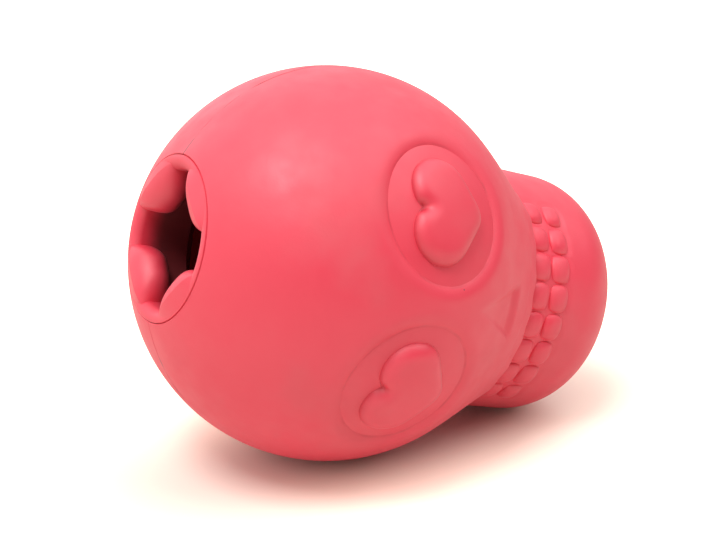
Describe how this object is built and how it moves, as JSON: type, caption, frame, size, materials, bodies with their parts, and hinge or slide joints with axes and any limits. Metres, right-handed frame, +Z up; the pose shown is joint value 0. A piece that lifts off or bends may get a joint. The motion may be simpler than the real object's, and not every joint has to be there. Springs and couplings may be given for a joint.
{
  "type": "rubber chew toy",
  "caption": "Hollow rubber chew toy shaped like a round skull lying on its side, with heart eyes, rows of teeth and an open mouth whose rubber lugs bend to hold a treat.",
  "frame": {"origin": "on the table, under the middle of the toy as it lies on its cheek", "axes": "+Z up; the mouth points to -X and up, the jaw to +X; the face looks to -Y, rolled up by a few degrees"},
  "size_m": [0.0988, 0.0766, 0.076],
  "materials": {
    "coral_rubber": "satin moulded natural rubber"
  },
  "bodies": {
    "skull": {"cranium_front": "coral_rubber", "cranium_back": "coral_rubber", "jaw": "coral_rubber", "mouth_ring": "coral_rubber", "lug_root_front_left": "coral_rubber", "lug_root_back_left": "coral_rubber", "lug_root_back_right": "coral_rubber", "lug_root_front_right": "coral_rubber", "eye_oval_left": "coral_rubber", "eye_heart_left": "coral_rubber", "eye_oval_right": "coral_rubber", "eye_heart_right": "coral_rubber", "upper_teeth": "coral_rubber", "lower_teeth": "coral_rubber"},
    "lug_front_left": {"lug_front_left": "coral_rubber"},
    "lug_back_left": {"lug_back_left": "coral_rubber"},
    "lug_back_right": {"lug_back_right": "coral_rubber"},
    "lug_front_right": {"lug_front_right": "coral_rubber"}
  },
  "joints": [
    {"name": "lug_front_left_bend", "type": "hinge", "parent": "skull", "child": "lug_front_left", "pos_m": [-0.04045, -0.00689, 0.0554], "axis": [0.1942, 0.749, 0.6335], "range_deg": [-25, 25], "stiffness_Nm_per_rad": 0.05, "deforming": ["lug_root_front_left"]},
    {"name": "lug_back_left_bend", "type": "hinge", "parent": "skull", "child": "lug_back_left", "pos_m": [-0.04073, 0.00847, 0.0545], "axis": [-0.2195, 0.6626, -0.7161], "range_deg": [-25, 25], "stiffness_Nm_per_rad": 0.05, "deforming": ["lug_root_back_left"]},
    {"name": "lug_back_right_bend", "type": "hinge", "parent": "skull", "child": "lug_back_right", "pos_m": [-0.04523, 0.00753, 0.03981], "axis": [-0.1942, -0.749, -0.6335], "range_deg": [-25, 25], "stiffness_Nm_per_rad": 0.05, "deforming": ["lug_root_back_right"]},
    {"name": "lug_front_right_bend", "type": "hinge", "parent": "skull", "child": "lug_front_right", "pos_m": [-0.04496, -0.00783, 0.04071], "axis": [0.2195, -0.6626, 0.7161], "range_deg": [-25, 25], "stiffness_Nm_per_rad": 0.05, "deforming": ["lug_root_front_right"]}
  ]
}
